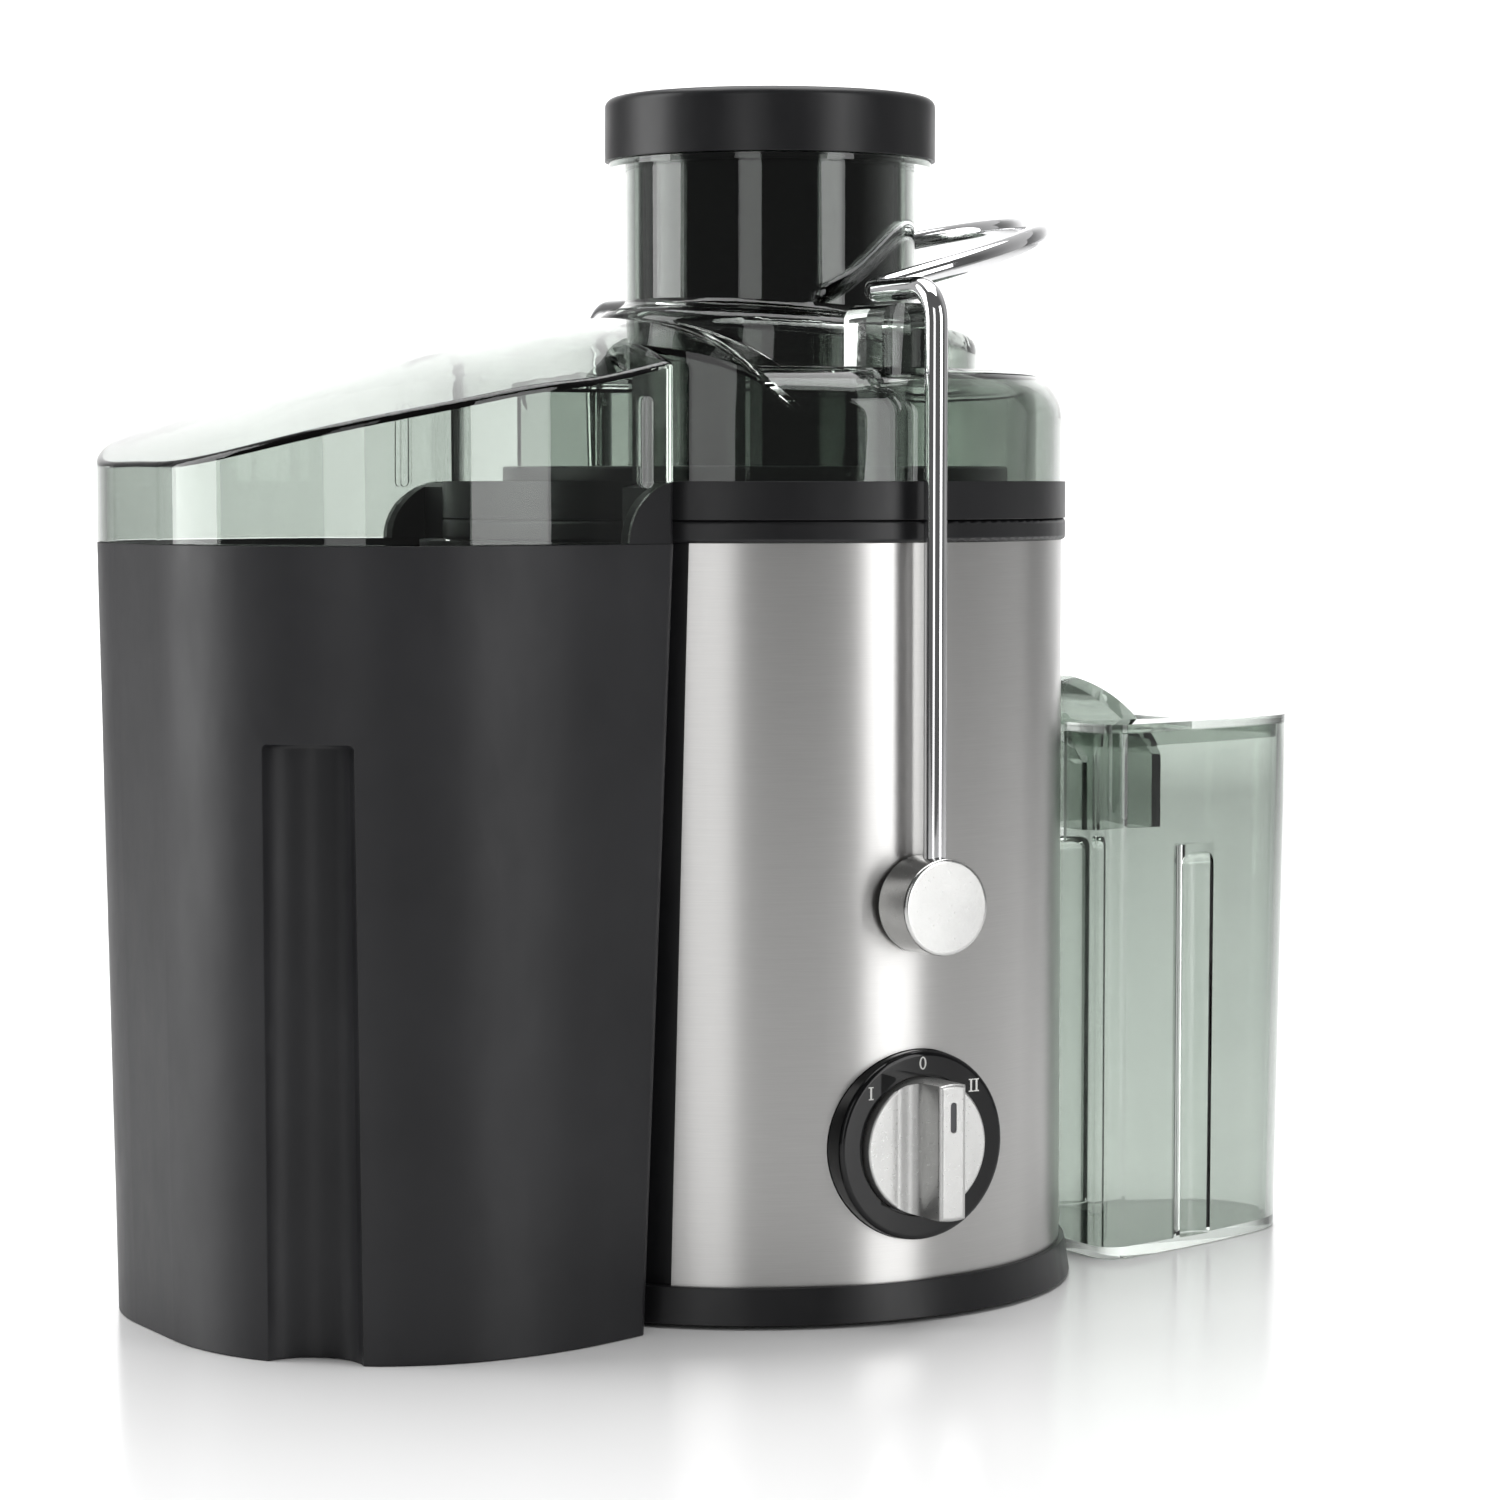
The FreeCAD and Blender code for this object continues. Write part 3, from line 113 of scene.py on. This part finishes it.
def newShade(name, **fixed):
    return Shade(bpy.data.materials.new(name), "Principled BSDF", **fixed)


def darker(tone, share):
    return tuple(part * share for part in tone)


def mouldedBlack(name, tone, rough, grain, edge):  # fine grain, a few rubbed places
    shade = newShade(name, IOR=1.5, Specular_IOR_Level=0.36)
    drift = shade.noise(14.0, 4.0, 0.6)
    rub = shade.noise(95.0, 5.0, 0.65, (1.0, 1.0, 0.35))
    pits = shade.noise(2600.0, 2.0, 0.5)
    worn = tuple(part * rubbed["gain"] + rubbed["lift"] for part in tone)
    shade.feed("Base Color", shade.blend(shade.ramp(drift, 0.35, 0.7), tone, worn))
    shade.feed("Roughness", shade.ramp(rub, 0.3, 0.75, rough - 0.05, rough + 0.06))
    shade.bump(pits, grain, 0.05 * mm, edge)
    return shade.owner


def brushedWrap(name, look):  # fine broken lines round the drum
    shade = newShade(name, Anisotropic=look["stretch"], Anisotropic_Rotation=0.25, Metallic=1.0)
    fine = shade.noise(look["lines"], 2.0, 0.7, (0.008, 0.008, 1.0))
    streak = shade.noise(look["streaks"], 3.0, 0.6, (0.02, 0.02, 1.0))
    cloud = shade.noise(9.0, 3.0, 0.5)
    mix = fine * 0.6 + streak * 0.4
    shade.feed("Base Color", shade.blend(shade.ramp(mix + cloud * 0.15, 0.38, 0.78),
                                         look["dark"], look["light"]))
    low, high = look["rough"] - look["spread"], look["rough"] + look["spread"]
    shade.feed("Roughness", shade.ramp(mix, 0.3, 0.7, low, high))
    shade.bump(mix, look["groove"], 0.02 * mm)
    return shade.owner


def polishedWire(name, tone, rough):
    shade = newShade(name, Metallic=1.0)
    haze = shade.noise(60.0, 4.0, 0.6)
    ripple = shade.noise(420.0, 2.0, 0.5)
    shade.feed("Base Color", shade.blend(shade.ramp(haze, 0.4, 0.7), tone,
                                         darker(tone, 0.93)))
    shade.feed("Roughness", shade.ramp(haze, 0.35, 0.75, rough * 0.6, rough * 1.6))
    shade.bump(ripple, 0.03, 0.02 * mm)
    return shade.owner


def smokePlastic(name, look):  # tinted clear wall with faint flow bands
    shade = newShade(name, IOR=look["index"], Transmission_Weight=1.0, Specular_IOR_Level=0.5)
    flow = shade.noise(18.0, 3.0, 0.5, (1.0, 1.0, 0.4))
    dust = shade.noise(240.0, 3.0, 0.6)
    shade.feed("Base Color", shade.blend(shade.ramp(flow, 0.35, 0.7), look["tint"], look["deep"]))
    shade.feed("Roughness", shade.ramp(dust, 0.5, 0.8, look["rough"], look["rough"] + 0.04))
    shade.bump(flow, look["wave"], 0.4 * mm)
    return shade.owner


def satinMetal(name, tone, rough, metal=0.9):
    shade = newShade(name, Metallic=metal)
    grain = shade.noise(1500.0, 3.0, 0.6)
    drift = shade.noise(30.0, 4.0, 0.6)
    shade.feed("Base Color", shade.blend(shade.ramp(drift, 0.35, 0.7), tone,
                                         darker(tone, 0.86)))
    shade.feed("Roughness", shade.ramp(grain, 0.3, 0.7, rough - 0.04, rough + 0.08))
    shade.bump(grain, 0.12, 0.03 * mm, 0.3 * mm)
    return shade.owner


def piercedSteel(name, look):  # sheet with rows of small holes
    shade = newShade(name, Metallic=1.0)
    cells = shade.node("ShaderNodeTexVoronoi", {"feature": "F1"},
                       {"Vector": shade.place(), "Scale": look["pitch"], "Randomness": 0.25})
    hole = shade.ramp(cells, look["hole"], look["hole"] + 0.08, 1.0, 0.0)
    # the holes are real, but their near-black colour is painted shade seen through the openings
    shade.feed("Base Color", shade.blend(hole, look["sheet"], look["dark"]))
    shade.feed("Roughness", shade.ramp(hole, 0.0, 1.0, 0.26, 0.7))
    shade.bump(1.0 - hole, 0.6, 0.2 * mm)
    return shade.owner


def stackedSheets(name, tone):  # steel laminations seen edge on
    shade = newShade(name, Metallic=0.8)
    sheets = shade.node("ShaderNodeTexWave", {"wave_type": "BANDS", "bands_direction": "Z"},
                        {"Vector": shade.place(), "Scale": 320.0, "Distortion": 0.3})
    stain = shade.noise(60.0, 4.0, 0.6)
    shade.feed("Base Color", shade.blend(stain, tone, darker(tone, 0.6)))
    shade.feed("Roughness", shade.ramp(stain, 0.3, 0.7, 0.35, 0.6))
    shade.bump(sheets, 0.4, 0.1 * mm)
    return shade.owner


def woundCopper(name, tone):
    shade = newShade(name, Metallic=0.85, Coat_Weight=0.6)
    turns = shade.node("ShaderNodeTexWave", {"wave_type": "RINGS", "rings_direction": "Z"},
                       {"Vector": shade.place(), "Scale": 260.0, "Distortion": 1.4, "Detail": 2.0})
    # the grooves between the wire turns are painted darker: painted shade in the low parts of the
    # bump
    shade.feed("Base Color", shade.blend(turns, darker(tone, 0.45), tone))
    shade.feed("Roughness", shade.ramp(turns, 0.0, 1.0, 0.5, 0.25))
    shade.bump(turns, 0.7, 0.25 * mm)
    return shade.owner


print("building materials")
rubbed = {"gain": 1.45, "lift": 0.004}  # how much paler moulded plastic gets where it is rubbed
blacks = {  # name: (tone, rough, grain)
    "bin": ((0.009, 0.009, 0.0105), 0.42, 0.12),
    "satin": ((0.007, 0.007, 0.008), 0.34, 0.08),
    "gloss": ((0.003, 0.003, 0.0035), 0.06, 0.02),
    "rubber": ((0.016, 0.016, 0.016), 0.7, 0.3),
}
wrapLook = {"lines": 9000.0, "streaks": 4200.0, "stretch": 0.75, "rough": 0.31, "spread": 0.02,
            "groove": 0.04, "dark": (0.49, 0.485, 0.478), "light": (0.55, 0.545, 0.535)}
smokeLook = {"index": 1.49, "tint": (0.62, 0.66, 0.625), "deep": (0.56, 0.605, 0.57),
             "rough": 0.0, "wave": 0.02}
# dark is the painted shade inside the holes of the pierced sheet
sheetLook = {"pitch": 900.0, "hole": 0.28, "sheet": (0.62, 0.62, 0.61),
             "dark": (0.05, 0.05, 0.05)}

finish = {
    "binBlack": mouldedBlack("binBlack", *blacks["bin"], 0.5 * mm),
    "satinBlack": mouldedBlack("satinBlack", *blacks["satin"], 0.4 * mm),
    "glossBlack": mouldedBlack("glossBlack", *blacks["gloss"], 0.3 * mm),
    "footRubber": mouldedBlack("footRubber", *blacks["rubber"], 0.3 * mm),
    "brushedWrap": brushedWrap("brushedWrap", wrapLook),
    "polishedWire": polishedWire("polishedWire", (0.86, 0.86, 0.87), 0.045),
    "capMetal": satinMetal("capMetal", (0.62, 0.62, 0.61), 0.20, 1.0),
    "smokePlastic": smokePlastic("smokePlastic", smokeLook),
    "knobSilver": satinMetal("knobSilver", (0.60, 0.60, 0.59), 0.30, 0.9),
    "piercedSteel": piercedSteel("piercedSteel", sheetLook),
    "motorSheets": stackedSheets("motorSheets", (0.36, 0.36, 0.37)),
    "castMetal": satinMetal("castMetal", (0.42, 0.42, 0.43), 0.45, 0.9),
    "woundCopper": woundCopper("woundCopper", (0.78, 0.42, 0.24)),
    "nylonPart": mouldedBlack("nylonPart", (0.62, 0.61, 0.57), 0.5, 0.2, 0.3 * mm),
    "carbonBlock": mouldedBlack("carbonBlock", (0.035, 0.035, 0.038), 0.62, 0.4, 0.2 * mm),
    "markPaint": mouldedBlack("markPaint", (0.62, 0.62, 0.60), 0.5, 0.1, 0.0),
    "markDark": mouldedBlack("markDark", (0.06, 0.06, 0.065), 0.4, 0.1, 0.0),
}

wears = {
    "binBlack": ["pulp_bin"],
    "satinBlack": ["base_ring", "bottom_cover", "motor_housing", "top_collar", "juice_bowl",
                   "rotary_switch", "safety_switch", "pivot_bosses", "basket_hub", "basket_rim",
                   "pusher_cap"],
    "glossBlack": ["dial_bezel", "pusher_body"],
    "footRubber": ["rubber_feet", "cord_inlet", "motor_mounts", "shaft_seal"],
    "brushedWrap": ["steel_wrap"],
    "polishedWire": ["bail_rod"],
    "capMetal": ["front_pivot_cap", "rear_pivot_cap"],
    "smokePlastic": ["lid", "juice_spout", "juice_jug", "jug_lid"],
    "knobSilver": ["dial_knob"],
    "piercedSteel": ["filter_mesh", "grater_disc"],
    "motorSheets": ["motor_stator", "armature"],
    "castMetal": ["housing_screws", "pivot_pins", "upper_bracket", "lower_bracket", "stay_bolts",
                  "upper_bearing", "lower_bearing", "motor_shaft", "knob_spindle"],
    "woundCopper": ["stator_windings", "commutator"],
    "nylonPart": ["brush_holders", "cooling_fan", "drive_coupling"],
    "carbonBlock": ["carbon_brushes"],
}
for name, members in wears.items():
    for member in members:
        nodes[member].data.materials.clear()
        nodes[member].data.materials.append(finish[name])
bare = sorted(set(nodes) - {member for members in wears.values() for member in members})
print("CAD nodes still bare:", bare)


def newPiece(name, mesh, body, look):
    piece = bpy.data.objects.new(name, mesh)
    bpy.context.scene.collection.objects.link(piece)
    mesh.materials.append(finish[look])
    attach(piece, body)
    return piece


def plateMesh(name, outlines, thick, spot):  # (x, z) outlines, raised
    form = bmesh.new()
    for outer, inner in outlines:
        count = len(outer)
        fronts = [form.verts.new((x, -thick, z)) for x, z in outer]
        backs = [form.verts.new((x, 0.0, z)) for x, z in outer]
        if inner:
            holeFronts = [form.verts.new((x, -thick, z)) for x, z in inner]
            holeBacks = [form.verts.new((x, 0.0, z)) for x, z in inner]
        for index in range(count):
            after = (index + 1) % count
            form.faces.new((fronts[index], fronts[after], backs[after], backs[index]))
            if inner:
                form.faces.new((holeFronts[after], holeFronts[index], holeBacks[index],
                                holeBacks[after]))
                form.faces.new((fronts[after], fronts[index], holeFronts[index], holeFronts[after]))
                form.faces.new((backs[index], backs[after], holeBacks[after], holeBacks[index]))
        if not inner:
            form.faces.new(fronts[::-1])
            form.faces.new(backs)
    bmesh.ops.recalc_face_normals(form, faces=form.faces)
    form.transform(Matrix.Translation(spot))
    mesh = bpy.data.meshes.new(name)
    form.to_mesh(mesh)
    form.free()
    return mesh


def ovalRing(width, height, count=48):
    return [(width / 2 * math.cos(2 * math.pi * step / count),
             height / 2 * math.sin(2 * math.pi * step / count)) for step in range(count)]


def serifBar(x, height, stem, foot, slab):
    top = height / 2
    return [(x - foot / 2, -top), (x + foot / 2, -top), (x + foot / 2, -top + slab),
            (x + stem / 2, -top + slab), (x + stem / 2, top - slab), (x + foot / 2, top - slab),
            (x + foot / 2, top), (x - foot / 2, top), (x - foot / 2, top - slab),
            (x - stem / 2, top - slab), (x - stem / 2, -top + slab), (x - foot / 2, -top + slab)]


print("printing the dial")
dial = {"ringRadius": 21.7 * mm, "height": 3.4 * mm, "stem": 0.55 * mm, "foot": 1.5 * mm,
        "slab": 0.3 * mm, "paint": 0.05 * mm, "turn": 47.0, "gap": 1.7 * mm,
        "zeroWidth": 2.1 * mm, "zeroHole": 1.15 * mm, "zeroStroke": 0.7 * mm}
bezelLow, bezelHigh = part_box("dial_bezel")
dialMiddle = (bezelLow + bezelHigh) / 2
zero = (ovalRing(dial["zeroWidth"], dial["height"]),
        ovalRing(dial["zeroHole"], dial["height"] - dial["zeroStroke"]))
bar = (dial["height"], dial["stem"], dial["foot"], dial["slab"])
one = (serifBar(0.0, *bar), None)
pair = [(serifBar(side * dial["gap"] / 2, *bar), None) for side in (-1, 1)]
for name, outlines, angle in (("markZero", [zero], 0.0), ("markOne", [one], -dial["turn"]),
                              ("markTwo", pair, dial["turn"])):
    lean = math.radians(angle)
    spot = Vector((dialMiddle.x + dial["ringRadius"] * math.sin(lean), bezelLow.y,
                   dialMiddle.z + dial["ringRadius"] * math.cos(lean)))
    mesh = plateMesh(name, outlines, dial["paint"], spot)
    newPiece(name, mesh, "base", "markPaint")

print("marking the knob")
pointer = {"width": 1.7 * mm, "length": 7.9 * mm, "below": 4.8 * mm, "sunk": 0.2 * mm,
           "thick": 0.2 * mm}
knobLow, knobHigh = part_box("dial_knob")
half, steps = pointer["width"] / 2, 8
pill = [(half * math.cos(math.pi * step / steps),
         pointer["length"] / 2 - half + half * math.sin(math.pi * step / steps))
        for step in range(steps + 1)]
pill += [(-x, -z) for x, z in pill]
spot = Vector((dialMiddle.x, knobLow.y + pointer["sunk"] + pointer["thick"],
               knobHigh.z - pointer["below"] - pointer["length"] / 2))
mesh = plateMesh("knobPointer", [(pill, None)], pointer["thick"], spot)
newPiece("knobPointer", mesh, "dial", "markDark")

print("setting the studio")
studio = {"distance": 1.1775, "azimuth": 30.0, "height": 0.2205, "aside": -0.0012,
          "pitch": 3.652, "lens": 101.8, "sensor": 36.0}
ringLow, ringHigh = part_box("base_ring")
axis = (ringLow + ringHigh) / 2
axis.z = 0.0
turnBack = math.radians(studio["azimuth"])
back = Vector((-math.sin(turnBack), -math.cos(turnBack), 0.0))
right = Vector((math.cos(turnBack), -math.sin(turnBack), 0.0))
up = Vector((0.0, 0.0, 1.0))
camera = bpy.data.objects.new("camera", bpy.data.cameras.new("camera"))
bpy.context.scene.collection.objects.link(camera)
camera.location = (axis + back * studio["distance"] + right * studio["aside"]
                   + up * studio["height"])
camera.rotation_euler = (math.radians(90.0 - studio["pitch"]), 0.0, -turnBack)
camera.data.lens = studio["lens"]
camera.data.sensor_width = studio["sensor"]
bpy.context.scene.camera = camera

backdrop = {"sideways": 8.0, "behind": 5.0, "ahead": 1.6, "bend": 1.2, "wall": 4.0,
            "below": 0.2 * mm, "cloud": 3.0, "dim": (0.93, 0.93, 0.93),
            "pale": (0.95, 0.95, 0.95), "smooth": 0.16, "rough": 0.22}
paper = newShade("paperFloor", Specular_IOR_Level=0.35)
cloud = paper.noise(backdrop["cloud"])
paper.feed("Base Color", paper.blend(paper.ramp(cloud, 0.3, 0.7), backdrop["dim"],
                                     backdrop["pale"]))
paper.feed("Roughness", paper.ramp(cloud, 0.3, 0.7, backdrop["smooth"], backdrop["rough"]))
bend = backdrop["bend"]
profile = [(-backdrop["ahead"], 0.0), (backdrop["behind"] - bend, 0.0)]
for step in range(10, 91, 10):  # degrees round the bend
    angle = math.radians(step)
    profile.append((backdrop["behind"] - bend + bend * math.sin(angle),
                    bend - bend * math.cos(angle)))
profile.append((backdrop["behind"], backdrop["wall"]))
sweep = bmesh.new()  # a floor that bends up into a wall behind
rows = []
for side in (-backdrop["sideways"], backdrop["sideways"]):
    rows.append([sweep.verts.new(axis + right * side - back * along
                                 + up * (rise - backdrop["below"]))
                 for along, rise in profile])
for index in range(len(profile) - 1):
    sweep.faces.new((rows[0][index], rows[1][index], rows[1][index + 1], rows[0][index + 1]))
floorMesh = bpy.data.meshes.new("floor")
sweep.to_mesh(floorMesh)
sweep.free()
floorMesh.materials.append(paper.owner)
for face in floorMesh.polygons:
    face.use_smooth = True
floor = bpy.data.objects.new("floor", floorMesh)
bpy.context.scene.collection.objects.link(floor)

lamps = {  # name: (right, nearer, up, width, height, watts)
    "leftBox": (-1.3, 0.0, 0.55, 0.75, 1.3, 12.0),
    "rightBox": (1.15, 0.95, 0.55, 0.55, 1.3, 7.5),
    "frontStrip": (-0.42, 1.5, 0.5, 0.5, 1.1, 2.6),
    "top": (0.0, -0.2, 1.9, 1.8, 1.6, 38.0),
    "wallLamp": (0.0, -2.2, 1.8, 3.6, 2.0, 150.0),
}
aim = {"middle": 0.16, "wallHeight": 0.9, "wallDepth": 6.0}
middle = axis + up * aim["middle"]
onWall = axis + up * aim["wallHeight"] - back * aim["wallDepth"]
for name, (side, nearer, rise, width, height, watts) in lamps.items():
    lamp = bpy.data.objects.new(name, bpy.data.lights.new(name, "AREA"))
    lamp.data.shape = "RECTANGLE"
    lamp.data.size, lamp.data.size_y, lamp.data.energy = width, height, watts
    lamp.location = axis + right * side + back * nearer + up * rise
    target = middle if name != "wallLamp" else onWall
    lamp.rotation_euler = (target - lamp.location).to_track_quat("-Z", "Y").to_euler()
    bpy.context.scene.collection.objects.link(lamp)

room = {"dark": 0.11, "bright": 0.7, "from": -0.2, "to": 0.85}  # bright behind the object
world = bpy.data.worlds.new("studio")
bpy.context.scene.world = world
sky = Shade(world, "Background", Color=(1.0, 1.0, 1.0, 1.0))
facing = sky.node("ShaderNodeTexCoord", out="Generated")
along = sky.node("ShaderNodeVectorMath", {"operation": "DOT_PRODUCT"}, {0: facing, 1: -back},
                 out="Value")
sky.feed("Strength", sky.ramp(along, room["from"], room["to"], room["dark"], room["bright"]))
bpy.context.scene.view_settings.view_transform = "Standard"

print("finished")
